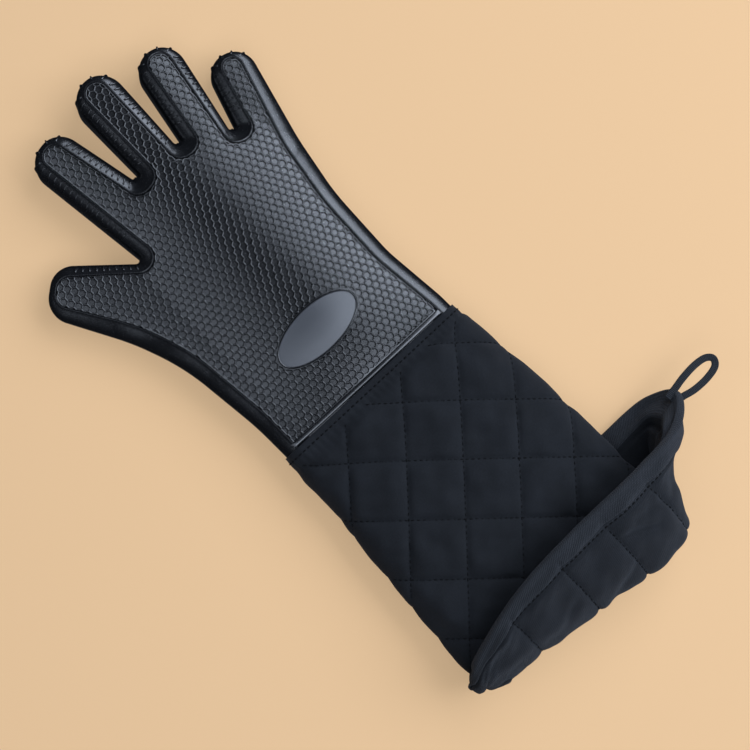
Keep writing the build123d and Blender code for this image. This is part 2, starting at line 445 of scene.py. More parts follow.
def cells(fences, low, high):
    """The honeycomb's cells as polygons, cut where they meet a fence."""
    found = []
    corner = np.radians(np.arange(30, 390, 60))
    shape = HEX_TOP / math.cos(math.pi / 6) * np.stack([np.cos(corner), np.sin(corner)], 1)
    for row in range(int((high[1] - low[1]) / HEX_ROW) + 2):
        for column in range(int((high[0] - low[0]) / HEX_PITCH) + 2):
            centre = low + [(column + 0.5 * (row % 2)) * HEX_PITCH, row * HEX_ROW]
            cell = centre + shape
            for fence, clear in fences:
                _, depth = fence.nearest(centre)
                if depth < -HEX_PITCH:
                    cell = cell[:0]
                elif depth < HEX_PITCH and len(cell) > 2:
                    cell = fence.keep(cell, clear)
            if area(cell) > SMALLEST_CELL:
                found.append(cell)
    return found


class Rings:
    """Closed rings of points, each at a height above its panel."""

    def __init__(self, outer):
        self.points, self.heights, self.edges = [], [], []
        self.outer = outer
        self.add(outer, 0.0)

    def add(self, polygon, height):
        start, n = len(self.points), len(polygon)
        self.points.extend(polygon)
        self.heights.extend([height] * n)
        self.edges.extend((start + k, start + (k + 1) % n) for k in range(n))

    def fill(self, surface, level, sign):
        """Triangles through all the points. level(points) is the panel's height, and sign says which
        way is out of the glove."""
        points = [Vector(p) for p in self.points]
        found = geometry.delaunay_2d_cdt(points, self.edges, [], 0, SAME_POINT, True)
        flat = np.array([v[:] for v in found[0]])
        faces = [list(f) for f in found[2]]
        inside = inside_path(np.array([flat[f].mean(axis=0) for f in faces]), self.outer)
        heights = [min((self.heights[i] for i in ids), key=abs, default=0.0) for ids in found[3]]
        z = level(flat) + sign * np.array(heights)
        kept = [f if sign > 0 else f[::-1] for f, keep in zip(faces, inside) if keep]
        surface.add(np.column_stack([flat, z]), kept)


def panel_fences(badge):
    """What the cells stay clear of, and by how much: the panel's border, the wrist and the badge."""
    wrist_line = np.linspace(*CELLS_FROM, 60)
    fences = [(Fence(border, path_normals(border)), BORDER_CLEAR)]
    fences.append((Fence(wrist_line, path_normals(wrist_line)), 0))
    if badge:
        ring = oval(0.0)
        fences.append((Fence(ring, unit((ring - BADGE_CENTRE) / BADGE_HALF**2)), BADGE_CLEAR))
    return fences


def add_badge(rings):
    """The badge's rim, and a slight dome inside it."""
    for outside, height in BADGE_RINGS:
        rings.add(oval(outside), height)
    dome = oval(DOME_OUTSIDE, DOME_POINTS) - BADGE_CENTRE
    for share in DOME_RINGS:
        rings.add(BADGE_CENTRE + dome * share, BADGE_RINGS[-1][1] + BADGE_DOME * (1 - share**2))


def panel(surface, level, sign, badge):
    """One honeycomb face."""
    rings = Rings(border)
    for cell in cells(panel_fences(badge), border.min(0), border.max(0)):
        rings.add(cell, 0.0)
        for inset, height in HEX_RINGS:
            inner = shrink(cell, inset)
            if area(inner) > SMALLEST_RING:
                rings.add(inner, height)
    if badge:
        add_badge(rings)
    rings.fill(surface, level, sign)


# ---------------------------------------------------------------- side bands and ribs

# The raised line round a panel: how far out of the border, and how high
LINE_ROWS = [(0.0, 0.0), (0.35, 0.36), (0.85, 0.36), (1.4, -0.05)]
BAND_ROWS = 14
# A side band slopes down evenly from the panel, then turns over a tight corner into an upright wall
BAND_SLOPE = 0.5
BAND_SQUARE = 4.5
PALM_LEVEL = 0.5
RIB_PITCH, RIB_HALF, RIB_HEIGHT = 4.35, 0.65, 1.25
# A rib starts this far from the panel, at most at this share of the band's width, and ends at the last
RIB_FROM, RIB_FROM_MOST, RIB_END = 2.6, 0.9, 0.8
RIB_STATIONS, RIB_SIDES = 17, 8
# Its ends taper, and its sides go this far into the band, as an angle of its round section
RIB_ENDS, RIB_TAPER, RIB_INTO = 0.03, 0.4, 0.5
# The ribs at the fingertips run over the edge, by an angle
TIP_RIB_HEIGHT, TIP_RIB_OVER = 1.0, 0.03
# Where they are along a fingertip, as shares of the part that is this far ahead of its centre
TIP_RIBS, TIP_AHEAD = (0.1, 0.36, 0.62, 0.9), 7
# Ribs beside a finger: on its little finger's side (1) or its thumb's (-1), and how far back from its tip
RIBBED = {
    "thumb": ((1,), 36),
    "index": ((1, -1), 60),
    "middle": ((1, -1), 44),
    "ring": ((1, -1), 34),
    "little": ((-1,), 20),
}
# Those ribs end this far ahead of the tip's centre
RIBS_AHEAD = 4


def arch(points):
    """How far the back's arch stands above the moulding's side height."""
    aside = np.abs(points[:, 0] - ARCH_X)
    drop = ARCH_SLOPE * (np.hypot(np.minimum(aside, THUMB_FROM), ARCH_TOP) - ARCH_TOP)
    drop += THUMB_SLOPE * np.maximum(aside - THUMB_FROM, 0)
    fall = np.clip((WRIST_FALL_FROM - points[:, 1]) / WRIST_FALL_OVER, 0, 1)
    return (ARCH_HIGH - drop) * (1 - WRIST_FALL * fall * fall)


def back_level(points):
    """The height of the back panel."""
    return THICK + arch(points) + crown_at(points)


def palm_level(points):
    """The height of the palm panel."""
    return np.full(len(points), PALM_LEVEL)


def side_height(share, width, height):
    """Height above mid level at a share of a side band's width, for a panel at a height above it."""
    fall = BAND_SLOPE * width
    return fall * (1 - share) + (height - fall) * (1 - share**BAND_SQUARE) ** (1 / BAND_SQUARE)


def band_point(at, foot, top, turn):
    """A point of the side band at an angle from the panel, 0 at its foot and a right angle at the edge."""
    share = np.minimum(np.sin(turn), 1.0)
    step = silhouette[at] - foot[at]
    rise = side_height(share, np.linalg.norm(step, axis=-1), np.abs(top - MID_Z))
    rise *= np.sign(top - MID_Z) * np.where(turn > math.pi / 2 + 1e-9, -1, 1)
    return np.concatenate([foot[at] + step * share[..., None], (MID_Z + rise)[..., None]], -1)


def band(surface, top, sign):
    """From a panel's border over the raised line to the silhouette at mid height. Top is a height for
    each point of the border."""
    out = unit(silhouette - border)
    rows = [np.column_stack([border + out * aside, top + sign * height]) for aside, height in LINE_ROWS]
    foot = border + out * LINE_ROWS[-1][0]
    start = top + sign * LINE_ROWS[-1][1]
    for turn in np.linspace(0, math.pi / 2, BAND_ROWS)[1:]:
        rows.append(band_point(np.arange(len(border)), foot, start, np.full(len(border), turn)))
    rows[-1][:, 2] = MID_Z
    surface.grid(rows, flip=sign < 0)
    return foot


def rib(surface, station, foot, top, across, at_tip):
    """One raised rib that runs down from beside the back panel; at a fingertip it goes over the edge."""
    step = silhouette[station] - foot[station]
    first = math.asin(min(RIB_FROM_MOST, (RIB_FROM - LINE_ROWS[-1][0]) / float(np.linalg.norm(step))))
    last = math.pi / 2 + TIP_RIB_OVER if at_tip else math.asin(RIB_END)
    turns = np.linspace(first, last, RIB_STATIONS)
    line = band_point(np.full(RIB_STATIONS, station), foot, top, turns)
    line[turns > math.pi / 2, :2] = silhouette[station]
    side = np.array([*across, 0.0])
    normal = np.cross(side, unit(np.gradient(line, axis=0)))
    if normal[RIB_STATIONS // 2] @ np.append(step, 0.0) < 0:
        normal = -normal
    taper = np.sin(np.linspace(RIB_ENDS, 1 - RIB_ENDS, RIB_STATIONS) * math.pi) ** RIB_TAPER
    high = (TIP_RIB_HEIGHT if at_tip else RIB_HEIGHT) * taper
    rows = []
    for a in np.linspace(-RIB_INTO, math.pi + RIB_INTO, RIB_SIDES):
        rows.append(line + side * RIB_HALF * math.cos(a) + normal * (high * math.sin(a))[:, None])
    surface.grid(rows)


def rib_stations():
    """The places along the silhouette that have a rib, each with whether it's at a fingertip."""
    travelled = distances(border)
    chosen = []
    for name, (first, last) in finger_marks.items():
        centre, _, lean = FINGERS[name][:3]
        along, across = lean_axes(lean)
        ahead = (silhouette - centre) @ along
        aside = (silhouette - centre) @ across
        finger = range(first, min(last, len(border)))
        sides, reach = RIBBED[name]
        for sign in sides:
            span = [i for i in finger if sign * aside[i] > 0 and -reach < ahead[i] < RIBS_AHEAD]
            marks = np.arange(travelled[span[0]], travelled[span[-1]], RIB_PITCH)
            chosen += [(int(np.searchsorted(travelled, m)), False) for m in marks]
        if name != "thumb":
            tip = [i for i in finger if ahead[i] > TIP_AHEAD]
            chosen += [(tip[round(k * (len(tip) - 1))], True) for k in TIP_RIBS]
    return sorted(set(chosen))


# ---------------------------------------------------------------- splitting at the fingers

# A finger's own piece starts this far behind its hinge, and is this much wider than the finger
ZONE_BEHIND, ZONE_WIDER = 2.0, 4
# Edges are sharp where the surface turns by more than this
SHARP = math.radians(24)
# The fingers' hinges from model.json, by the finger that each one moves
hinges = {j["child"]: j for j in frame["joints"]}


def hinge_mm(name):
    """A finger's hinge, in millimetres from the wrist seam."""
    return np.array(hinges[name]["pos_m"]) * 1000 - [0, SEAM_Y, 0]


def finger_of(points):
    """The name of the finger that each point belongs to, or hand."""
    best, names = np.full(len(points), 1.0), np.array(["hand"] * len(points), dtype=object)
    for name, (_, _, lean, _, _, half) in FINGERS.items():
        along, across = lean_axes(lean)
        at = points[:, :2] - hinge_mm(name)[:2]
        ahead, aside = at @ along, np.abs(at @ across) / (half + ZONE_WIDER)
        mine = (ahead > -ZONE_BEHIND) & (aside < best)
        best[mine], names[mine] = aside[mine], name
    return names


def on_badge(verts):
    """Whether each point lies on the badge's face."""
    rim = BADGE_HALF + BADGE_RINGS[-1][0] + 0.01
    return ((((verts[:, :2] - BADGE_CENTRE) / rim) ** 2).sum(1) < 1) & (verts[:, 2] > MID_Z)


def whole_normals(verts, faces, material):
    """The normals at the corners of a whole surface's faces, sharp where it turns a lot."""
    whole = new_object("whole", verts, faces, material)
    whole.data.set_sharp_from_angle(angle=SHARP)
    normals = np.zeros(len(whole.data.loops) * 3)
    whole.data.corner_normals.foreach_get("vector", normals)
    bpy.data.objects.remove(whole)
    return normals.reshape(-1, 3)


def move_with(piece, name):
    """A piece of skin for the hand rides with the hand; a finger's piece keeps its place, with its transform
    applied.
    """
    if name == "hand":
        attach(piece, "hand")
    else:
        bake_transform(piece)


def split_pieces(prefix, surface, material):
    """A surface of the whole hand as one piece for the hand and one for each finger, with shared normals."""
    verts, faces = weld(surface.points(), surface.faces)
    normals = whole_normals(verts, faces, material)
    first = np.cumsum([0] + [len(f) for f in faces])
    owner = finger_of(np.array([verts[f].mean(axis=0) for f in faces]))
    for name in ["hand", *FINGERS]:
        chosen = np.nonzero(owner == name)[0]
        corners = np.concatenate([np.arange(first[i], first[i + 1]) for i in chosen])
        used = np.unique(np.concatenate([np.array(faces[i]) for i in chosen]))
        index = np.full(len(verts), -1)
        index[used] = np.arange(len(used))
        mine = [index[faces[i]].tolist() for i in chosen]
        piece = new_object(f"{prefix}_{name}_skin", verts[used], mine, material)
        matte = piece.data.attributes.new("matte", "FLOAT", "POINT")
        matte.data.foreach_set("value", on_badge(verts[used]).astype(float))
        piece.data.normals_split_custom_set(normals[corners].tolist())
        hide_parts(f"{prefix}_{name}")
        move_with(piece, name)


# ---------------------------------------------------------------- materials


# Where a colour ramp leaves its first colour and reaches its second
RAMP_FROM, RAMP_TO = 0.35, 0.65
# A wave texture of scale 1 repeats every 2 pi / 20 of its coordinate
WAVE_SCALE = 2 * math.pi / 20


def set_values(node, **values):
    """Sets a node's inputs, whose names are written with _ for a space."""
    for name, value in values.items():
        node.inputs[name.replace("_", " ")].default_value = value


class Look:
    """A new material: one shader, and the texture nodes that drive it."""

    def __init__(self, name, **shading):
        self.material = bpy.data.materials.new(name)
        self.material.use_nodes = True
        self.shader = self.material.node_tree.nodes["Principled BSDF"]
        set_values(self.shader, **shading)

    def node(self, kind, **values):
        found = self.material.node_tree.nodes.new("ShaderNode" + kind)
        set_values(found, **values)
        return found

    def link(self, source, target):
        self.material.node_tree.links.new(source, target)

    def noise(self, scale, detail):
        return self.node("TexNoise", Scale=scale, Detail=detail)

    def wave(self, place, pitch, direction):
        """Threads at a pitch, side by side in a direction of the flat cloth."""
        found = self.node("TexWave", Scale=WAVE_SCALE / pitch, Distortion=0.6, Detail=1.0, Detail_Scale=2.0)
        found.bands_direction = direction
        self.link(place, found.inputs["Vector"])
        return found

    def colour(self, factor, low, high):
        """The base colour turns from low to high with a texture."""
        ramp = self.node("ValToRGB")
        first, last = ramp.color_ramp.elements
        first.position, last.position = RAMP_FROM, RAMP_TO
        first.color, last.color = (*low, 1), (*high, 1)
        self.link(factor, ramp.inputs["Fac"])
        self.link(ramp.outputs["Color"], self.shader.inputs["Base Color"])

    def spread(self, value, low, high, socket):
        """A texture moves a socket between low and high."""
        turn = self.node("MapRange", To_Min=low, To_Max=high)
        self.link(value, turn.inputs["Value"])
        self.link(turn.outputs["Result"], socket)

    def bump(self, texture, strength, distance, under=None):
        """A texture as bumps, over the bumps of an earlier node."""
        found = self.node("Bump", Strength=strength, Distance=distance)
        self.link(texture.outputs["Fac"], found.inputs["Height"])
        if under:
            self.link(under.outputs["Normal"], found.inputs["Normal"])
        self.link(found.outputs["Normal"], self.shader.inputs["Normal"])
        return found


SILICONE_ROUGH = 0.25
SILICONE_LOW, SILICONE_HIGH = (0.0034, 0.0037, 0.0045), (0.0055, 0.006, 0.0072)
# The badge has a matte face
BADGE_COLOUR, BADGE_ROUGHER = (0.024, 0.027, 0.034), 0.17


def silicone_material():
    """Satin black silicone with a very fine moulded texture, matte where the mesh says so."""
    look = Look("silicone_look", Specular_IOR_Level=1.0)
    base, roughness = look.shader.inputs["Base Color"], look.shader.inputs["Roughness"]
    roughness.default_value = SILICONE_ROUGH
    spots = look.noise(60, 4).outputs["Fac"]
    look.colour(spots, SILICONE_LOW, SILICONE_HIGH)
    matte = look.node("Attribute")
    matte.attribute_name = "matte"
    colour = look.node("Mix")
    colour.data_type = "RGBA"
    set_values(colour, B=(*BADGE_COLOUR, 1))
    look.link(matte.outputs["Fac"], colour.inputs["Factor"])
    look.link(base.links[0].from_socket, colour.inputs["A"])
    look.link(colour.outputs["Result"], base)
    rougher = look.node("Math")
    rougher.operation = "MULTIPLY_ADD"
    rougher.inputs[1].default_value = BADGE_ROUGHER
    look.link(matte.outputs["Fac"], rougher.inputs[0])
    look.spread(spots, SILICONE_ROUGH - 0.05, SILICONE_ROUGH + 0.06, rougher.inputs[2])
    look.link(rougher.outputs["Value"], roughness)
    look.bump(look.noise(2600, 2), 0.25, 0.00005)
    return look.material


CLOTH_ROUGH = 0.9
CLOTH_SHADING = {"Sheen_Weight": 0.08, "Sheen_Roughness": 0.5, "Sheen_Tint": (0.75, 0.85, 1.0, 1)}


def cloth_material(name, low, high, pitch, depth):
    """Woven cloth: threads both ways in the cloth's own flat coordinates, in metres."""
    look = Look(name, Roughness=CLOTH_ROUGH, Specular_IOR_Level=0.25, **CLOTH_SHADING)
    uv_map = look.node("UVMap")
    uv_map.uv_map = "flat"
    place = uv_map.outputs["UV"]
    mottle, patches = look.noise(900, 3), look.noise(45, 3)
    both = look.node("Mix", Factor=0.5)
    for texture, socket in ((mottle, "A"), (patches, "B")):
        look.link(place, texture.inputs["Vector"])
        look.link(texture.outputs["Fac"], both.inputs[socket])
    look.colour(both.outputs["Result"], low, high)
    roughness = look.shader.inputs["Roughness"]
    look.spread(mottle.outputs["Fac"], CLOTH_ROUGH - 0.06, CLOTH_ROUGH + 0.05, roughness)
    first = look.bump(look.wave(place, pitch[0], "X"), depth[0], 0.00025)
    second = look.bump(look.wave(place, pitch[1], "Y"), depth[1], 0.00025, under=first)
    look.bump(mottle, 0.35, 0.0003, under=second)
    return look.material


def fibre_material(name, low, high, scale, sheen=0.2):
    """Thread, knit and wadding: soft, rough and uneven."""
    look = Look(name, Roughness=0.9, Sheen_Weight=sheen, Specular_IOR_Level=0.2)
    fibres = look.noise(scale, 5)
    look.colour(fibres.outputs["Fac"], low, high)
    look.bump(fibres, 0.6, 0.0004)
    return look.material


silicone = silicone_material()
# Cloths: a low and a high colour, the pitch of the threads both ways in metres, and their depths
cover_cloth = cloth_material(
    "cover_look", (0.0034, 0.0041, 0.0054), (0.0082, 0.0095, 0.0122), (0.0006, 0.0006), (0.3, 0.3)
)
lining_cloth = cloth_material(
    "lining_look", (0.0042, 0.0049, 0.0063), (0.0104, 0.0118, 0.0148), (0.0012, 0.0007), (0.35, 0.7)
)
tape_cloth = cloth_material(
    "tape_look", (0.010, 0.0112, 0.0136), (0.021, 0.023, 0.027), (0.0014, 0.0012), (1.0, 0.7)
)
thread_look = fibre_material("thread_look", (0.0010, 0.0012, 0.0015), (0.0028, 0.0032, 0.004), 1500, 0.0)
knit_look = fibre_material("knit_look", (0.04, 0.04, 0.045), (0.07, 0.07, 0.075), 900)
wadding_look = fibre_material("wadding_look", (0.45, 0.44, 0.4), (0.62, 0.6, 0.56), 300)

# ---------------------------------------------------------------- silicone hand

# The raised bar at the wrist: its line, half width, height, and how far its ends taper and its sides sink
BEAD = [(-63.5, 5.4), (-40, 4.3), (0, 2.9), (40, 1.7), (61.5, 1.1)]
BEAD_HALF, BEAD_HIGH, BEAD_TAPER, BEAD_SUNK = 1.7, 0.8, 2.0, 0.1
# Its round section goes this far past level on both sides, as an angle
BEAD_INTO = 0.4
# The web in a gap: half width, length, half thickness, and how far back it starts
WEB_HALF, WEB_DEEP, WEB_THICK, WEB_BACK = 1.3, 1.6, 0.5, 0.3
# Its width at the end, as a share
WEB_END = 0.75
# The liner lies this far inside the silicone, and lower under the back's arch
LINER_IN, LINER_LOWER = 3.2, 4.0
# It uses every third point of the outlines, and its sheets have a point every few millimetres
LINER_STEP, SHEET_STEP = 3, 6.0


def wrist_bead(surface):
    """The raised bar across the back where the silicone ends."""
    line_x, line_y = np.array(BEAD, float).T
    x = np.linspace(line_x[0], line_x[-1], 90)
    y = np.interp(x, line_x, line_y)
    top = back_level(np.column_stack([x, y])) - BEAD_SUNK
    taper = np.clip(np.minimum(x - x[0], x[-1] - x) / BEAD_TAPER, 0, 1) ** 0.5
    rows = []
    for a in np.linspace(-BEAD_INTO, math.pi + BEAD_INTO, 11):
        rows.append(np.column_stack([x, y + BEAD_HALF * math.cos(a), top + BEAD_HIGH * math.sin(a) * taper]))
    surface.grid(rows)


def web_fin(surface, name):
    """The thin web left at mid height in the gap between two fingers."""
    gap, _, lean = CROTCHES[name]
    along, across = lean_axes(lean)
    base = np.array(gap) - WEB_BACK * along
    corners = ((0, -1), (WEB_DEEP, -WEB_END), (WEB_DEEP, WEB_END), (0, 1))
    flat = [base + across * WEB_HALF * s + along * t for t, s in corners]
    low, high = ([[*p, MID_Z + z] for p in flat] for z in (-WEB_THICK, WEB_THICK))
    surface.grid([low, high], closed=True)
    surface.add(low, [[3, 2, 1, 0]])
    surface.add(high, [[0, 1, 2, 3]])


def make_hand():
    """The silicone hand and its fingers."""
    skin = Surface()
    panel(skin, back_level, 1, badge=True)
    panel(skin, palm_level, -1, badge=False)
    top = back_level(border)
    foot = band(skin, top, 1)
    band(skin, palm_level(border), -1)
    tangent = unit(np.gradient(silhouette, axis=0))
    for station, at_tip in rib_stations():
        rib(skin, station, foot, top[station], tangent[station], at_tip)
    for name in CROTCHES:
        web_fin(skin, name)
    wrist_bead(skin)
    split_pieces("silicone", skin, silicone)


def plain_panel(surface, loop, z, sign):
    """A flat sheet inside a loop, with points every few millimetres."""
    ranges = [np.arange(low, high, SHEET_STEP) for low, high in zip(loop.min(0), loop.max(0))]
    inner = np.stack([axis.ravel() for axis in np.meshgrid(*ranges)], 1)
    inner = inner[inside_path(inner, loop)]
    rings = Rings(loop)
    rings.points.extend(inner)
    rings.heights.extend([0.0] * len(inner))
    rings.fill(surface, lambda flat: np.full(len(flat), z), sign)


def make_liner():
    """The knitted liner inside the silicone."""
    inner = Surface()
    edge = (silhouette + path_normals(silhouette) * LINER_IN)[::LINER_STEP]
    loop = (border + path_normals(border) * 1.0)[::LINER_STEP]
    for level, sign in ((THICK - LINER_IN - LINER_LOWER, 1), (LINER_IN, -1)):
        plain_panel(inner, loop, level, sign)
        rows = []
        for a in np.linspace(0, math.pi / 2, 6):
            z = MID_Z + (level - MID_Z) * math.cos(a)
            rows.append(np.column_stack([loop + (edge - loop) * math.sin(a), np.full(len(loop), z)]))
        inner.grid(rows, flip=sign < 0)
    split_pieces("liner", inner, knit_look)


make_hand()
make_liner()

# ---------------------------------------------------------------- sleeve and cuff

COLUMNS = 320
HALF_ROUND = COLUMNS // 2
ROW_STEP = 1.3
# Points round a loop before they are spaced evenly
LOOP_POINTS = 720
MIDDLE_SMOOTHS = 4
# Loops of the sleeve's middle surface down from the wrist: y, left, right, low, high, squareness
TUBE = [
    (-14, -70.6, 70.8, 1.2, 31.0, 2.4),
    (-40, -71.4, 73.0, 1.6, 32.5, 2.25),
    (-70, -74.6, 75.0, 3.0, 33.5, 2.2),
    (-100, -77.6, 76.2, 6.0, 33.5, 2.2),
    (-130, -80.2, 77.0, 9.0, 31.5, 2.2),
    (-160, -82.4, 77.6, 10.0, 29.0, 2.3),
    (-184, -82.0, 78.5, 9.5, 28.0, 2.4),
]
# Loops of the cuff, from the fold to the rim. Each starts at the little finger's side and goes over
# the top to the thumb's side and back along the floor.
CUFF = [
    [(76, -198, 19), (71, -204, 27), (50, -204.5, 31), (10, -198.5, 31), (-30, -191.5, 30), (-66, -187.0, 25),
     (-78, -184, 17), (-66, -187, 7), (-30, -192, 5), (10, -198, 5), (50, -202, 5), (70, -203, 10)],
    [(83, -180, 24), (78, -187.5, 38), (56, -192.5, 46), (11, -188, 47), (-31, -183, 45), (-69, -180, 37),
     (-82.5, -181, 24), (-70, -184, 4.5), (-30, -180, 3.5), (18, -180, 3.5), (62, -182, 3.5), (82, -184, 10)],
    [(97, -159, 29), (90, -164.5, 45), (64, -171, 56), (12, -168, 58), (-33, -167, 55), (-72, -171, 44),
     (-85.5, -178, 28), (-72, -176, 4), (-30, -162, 3.5), (30, -155, 3.5), (80, -152, 4.5), (100, -153, 12)],
    [(128.0, -140.8, 33), (109.3, -152.3, 48), (71.7, -153.0, 61), (13.3, -151.3, 64), (-34.3, -154, 61),
     (-76, -165.0, 48), (-85.0, -172.5, 34), (-80, -173, 12), (-28.9, -143, 4), (41.8, -131.5, 4),
     (96.5, -129.6, 7), (118.5, -132.5, 16)],
]


def catmull(points, t):
    """Points of a Catmull-Rom curve through a row of points, at positions counted in points."""
    n = len(points)
    i = np.clip(np.floor(t).astype(int), 0, n - 2)
    f = (t - i)[:, None]
    if points.ndim == 3:
        f = f[..., None]
    p0, p1 = points[np.maximum(i - 1, 0)], points[i]
    p2, p3 = points[i + 1], points[np.minimum(i + 2, n - 1)]
    square, cube = 2 * p0 - 5 * p1 + 4 * p2 - p3, 3 * p1 - p0 - 3 * p2 + p3
    return 0.5 * (2 * p1 + (p2 - p0) * f + square * f**2 + cube * f**3)


def even(points, n):
    """The same path with n evenly spaced points."""
    travelled = distances(points)
    at = np.linspace(0, travelled[-1], n)
    return np.stack([np.interp(at, travelled, points[:, k]) for k in range(points.shape[1])], 1)


def even_loop(points, middle):
    """A closed loop with COLUMNS points: half of them up to the point numbered middle, half after."""
    upper = even(points[: middle + 1], HALF_ROUND + 1)
    lower = even(np.concatenate([points[middle:], points[:1]]), HALF_ROUND + 1)
    return np.concatenate([upper[:-1], lower[:-1]])


# The sleeve's sewn edge is a little higher on the thumb's side, where the silicone ends
SEWN_EDGE = (0.8, -2.5, -6.0)
EDGE_SLANT = -0.034
# It is this much larger than the hand, at this point from either end of the hand's outlines
SEWN_OUT = 0.9
WRIST_POINT = 3


def hand_loop(y):
    """The hand's own section at a place near the wrist, a little larger, for the sleeve's sewn edge."""
    share = np.cos(np.linspace(0, math.pi / 2, 24))
    ends = [WRIST_POINT, -1 - WRIST_POINT]
    right, left = zip(border[ends, 0], silhouette[ends, 0])
    flat = np.linspace(right[0], left[0], 60)[1:-1]
    crown = back_level(np.column_stack([flat, np.full(len(flat), y)])) - THICK

    def side(foot, edge, height, up):
        x = foot + (edge - foot) * share + math.copysign(SEWN_OUT, edge - foot) * share
        rise = side_height(share, abs(edge - foot), MID_Z + SEWN_OUT + height)
        return np.column_stack([x, MID_Z + up * rise])

    top = np.concatenate([
        side(*right, crown[0], 1),
        np.column_stack([flat, THICK + SEWN_OUT + crown]),
        side(*left, crown[-1], 1)[::-1],
    ])
    low = np.concatenate([
        side(*left, -PALM_LEVEL, -1)[1:],
        np.column_stack([flat[::-1], np.full(len(flat), PALM_LEVEL - SEWN_OUT)]),
        side(*right, -PALM_LEVEL, -1)[::-1],
    ])
    x, z = np.concatenate([top, low]).T
    return even_loop(np.column_stack([x, y + EDGE_SLANT * x, z]), len(top) - 1)


def tube_loop(y, left, right, low, high, power):
    """A loop of the tube: a rounded oblong that lies between left and right, low and high."""
    a = np.linspace(0, 2 * math.pi, LOOP_POINTS, endpoint=False)
    c, s = np.cos(a), np.sin(a)
    x = (left + right) / 2 + (right - left) / 2 * np.sign(c) * np.abs(c) ** (2 / power)
    z = (low + high) / 2 + (high - low) / 2 * np.sign(s) * np.abs(s) ** (2 / power)
    return even_loop(np.column_stack([x, np.full(len(a), y), z]), LOOP_POINTS // 2)


def cuff_loop(points):
    """A loop of the cuff: a smooth closed curve through its points."""
    n = len(points)
    at = n + np.linspace(0, n, LOOP_POINTS, endpoint=False)
    return even_loop(catmull(np.array(points * 3, float), at), LOOP_POINTS // 2)


def middle_surface():
    """Rows of points from the wrist, down the tube, round the fold and up the cuff, with the distance
    from the wrist of each row and of the fold."""
    stations = [hand_loop(y) for y in SEWN_EDGE]
    stations = np.array(stations + [tube_loop(*s) for s in TUBE] + [cuff_loop(c) for c in CUFF])
    place = np.linspace(0, len(stations) - 1, 60 * len(stations))
    fine = catmull(stations, place)
    step = np.linalg.norm(np.diff(fine, axis=0), axis=2).mean(axis=1)
    travelled = np.concatenate([[0], np.cumsum(step)])
    wanted = np.linspace(0, travelled[-1], round(travelled[-1] / ROW_STEP))
    i = np.clip(np.searchsorted(travelled, wanted) - 1, 0, len(fine) - 2)
    f = ((wanted - travelled[i]) / (travelled[i + 1] - travelled[i]))[:, None, None]
    rows = fine[i] * (1 - f) + fine[i + 1] * f
    for _ in range(MIDDLE_SMOOTHS):
        rows[1:-1] = (rows[:-2] + 2 * rows[1:-1] + rows[2:]) / 4
    return rows, wanted, float(np.interp(len(SEWN_EDGE) + len(TUBE), place, travelled))


def surface_normals(rows):
    """The directions out of the tube; on the turned-back cuff they point in, to the tube."""
    around = np.roll(rows, -1, 1) - np.roll(rows, 1, 1)
    return unit(np.cross(around, np.gradient(rows, axis=0)))


middle, down, FOLD_DOWN = middle_surface()
outward = surface_normals(middle)
RIM_DOWN = down[-1]

# Quilting: a crossing of two stitch lines, and the two steps to the next crossings, as (across, down)
CROSSING, STEP_A, STEP_B = (5.0, -75.0), (26.0, -24.0), (24.0, 27.0)
# Height of a puff, and the lining's as a share of it
PUFF, LINING_PUFF = 4.2, 0.9
# Half the thickness of the sewn cloth, and what is left of that at the wrist, over a length
SEWN_HALF, SEWN_THIN, SEWN_OVER = 0.9, 0.45, 8
RIDGE_SHARP, QUILT_POWER = 3.4, 0.42
# The tube's puffs start at this distance from the wrist, over a length
PUFF_FROM, PUFF_OVER = 7, 10
CUFF_GROOVES = (-43.0, 0.0, 36.5, 73.0)
GROOVE_LEAN = -0.05
GROOVE_REACH, GROOVE_SHARP = 18, 3.2
# The cuff's stitch line beside the binding: its distance from the rim, half width and what is left there
HEM_LINE, HEM_HALF, HEM_LEFT = 12.5, 2.2, 0.3
CUFF_PUFF, CUFF_LEAST = 0.85, 0.08
# The puffs grow over a length from the rim, and change from the tube's to the cuff's before the fold
RIM_OVER, TURN_BEFORE, TURN_OVER = 7, 14, 16
# Creases across the cuff's puffs: two ends and a depth
CUFF_CREASES = [
    ((36, -172), (62, -186), 0.55), ((4, -199), (41, -190), 0.3), ((70, -180), (86, -172), 0.16),
    ((-38, -190), (-6, -180), 0.18), ((48, -170), (74, -176), 0.25),
]
CREASE_HALF = 2.6
# They are on cloth above this height, over a length
CREASE_ABOVE, CREASE_OVER = 22, 8
# Beside a side seam the puffs are lower, over a length
SIDE_QUIET, SIDE_LOW = 16.0, 0.35
# Unevenness: how many waves, how much of it there is, and the shortest and the longest wave
WRINKLES, WRINKLE_SHARE, WRINKLE_LENGTHS = 26, 0.3, (9, 40)
# Puckers beside the wrist seam: height, length along it, and reach
PUCKER, PUCKER_LONG, PUCKER_REACH = 0.28, 5.2, 4
# Cloth lower than the first height is pressed flat, towards the second
LIES_FROM, LIES_AT = 2.2, 0.3


def flat_coordinates():
    """Where each point of the sleeve lies on the flat cloth: across from the panel's middle, and down."""
    across = np.zeros(middle.shape[:2])
    step = np.linalg.norm(np.roll(middle, -1, 1) - middle, axis=2)
    for first, sign in ((0, -1), (HALF_ROUND, 1)):
        columns = np.arange(first, first + HALF_ROUND)
        run = np.concatenate([np.zeros((len(middle), 1)), np.cumsum(step[:, columns], axis=1)], axis=1)
        across[:, columns] = sign * (run - run[:, -1:] / 2)[:, :-1]
    return across, np.repeat(down[:, None], COLUMNS, axis=1)


